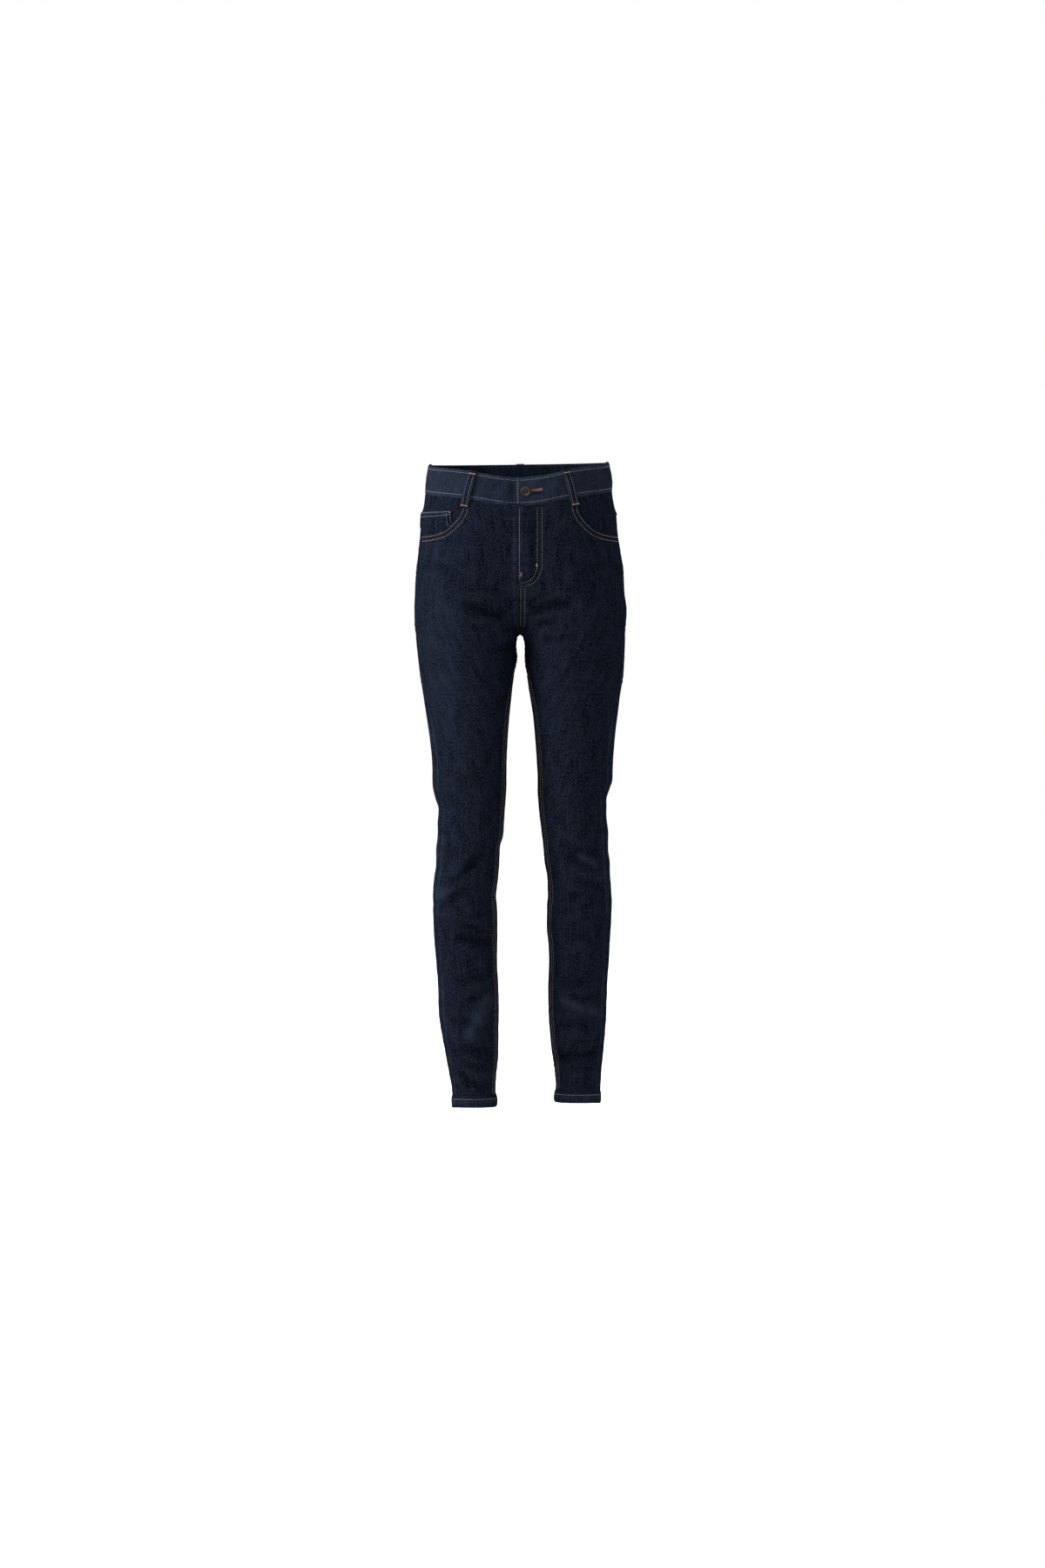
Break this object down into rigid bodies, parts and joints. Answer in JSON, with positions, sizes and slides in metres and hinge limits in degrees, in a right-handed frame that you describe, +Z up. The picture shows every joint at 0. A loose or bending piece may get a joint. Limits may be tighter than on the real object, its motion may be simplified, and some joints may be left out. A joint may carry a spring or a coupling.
{
  "type": "slim jeans",
  "caption": "Slim five-pocket jeans in dark stretch denim, hollow and open at waist and hems, held in worn shape with the button fastened.",
  "frame": {"origin": "centre of the waistband's ring, half way up the band at the sides, where the wearer's waist holds the garment", "axes": "+Z up, the front faces -Y, +X to the wearer's left"},
  "size_m": [0.3289, 0.2362, 1.0056],
  "materials": {
    "denim": "dark indigo stretch denim twill, matt, with tan and blue-grey stitching",
    "zip": "closed metal zip on a dark tape, hidden behind the fly",
    "button": "dark antiqued metal"
  },
  "bodies": {
    "root": {"front_left": "denim", "front_right": "denim", "back_left": "denim", "back_right": "denim", "yoke_left": "denim", "yoke_right": "denim", "waistband": "denim", "pocket_facing_left": "denim", "pocket_facing_right": "denim", "coin_pocket": "denim", "back_pocket_left": "denim", "back_pocket_right": "denim", "fly_shield": "denim", "zip": "zip", "loop_front_left": "denim", "loop_front_right": "denim", "loop_side_left": "denim", "loop_side_right": "denim", "loop_back": "denim", "hem_left": "denim", "hem_right": "denim", "button": "button"}
  },
  "joints": []
}
